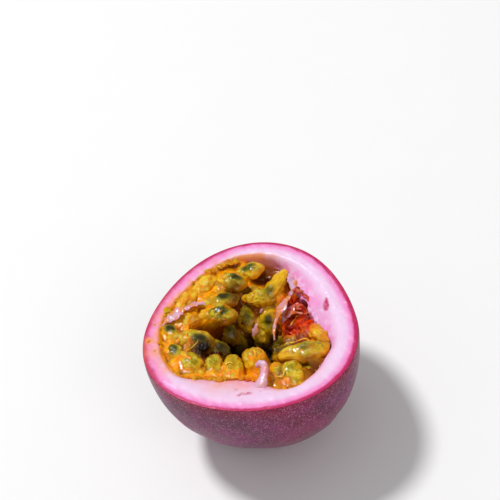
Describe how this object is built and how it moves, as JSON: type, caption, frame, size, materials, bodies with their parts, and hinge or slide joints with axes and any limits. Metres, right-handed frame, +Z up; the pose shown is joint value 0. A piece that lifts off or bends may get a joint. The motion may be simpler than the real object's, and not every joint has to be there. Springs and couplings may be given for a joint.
{
  "type": "passion fruit half",
  "caption": "Ripe passion fruit cut across, resting on its round back: a bowl of purple skin and pale pith, lined with juicy orange and green seed sacs round a hollow in the middle.",
  "frame": {"origin": "on the surface that the half rests on, under the middle of its outline", "axes": "+Z up, out of the cut face; +Y along the outline's longer way, with the thick pith and its loose strand on the -Y side"},
  "size_m": [0.0552, 0.0592, 0.035],
  "materials": {
    "skin_and_pith": "dusty purple skin with fine pale specks outside, soft matt pink to white pith on the cut and inside",
    "juice_sacs": "wet, translucent, orange to olive"
  },
  "bodies": {
    "root": {"peel": "skin_and_pith", "pulp": "juice_sacs"}
  },
  "joints": []
}
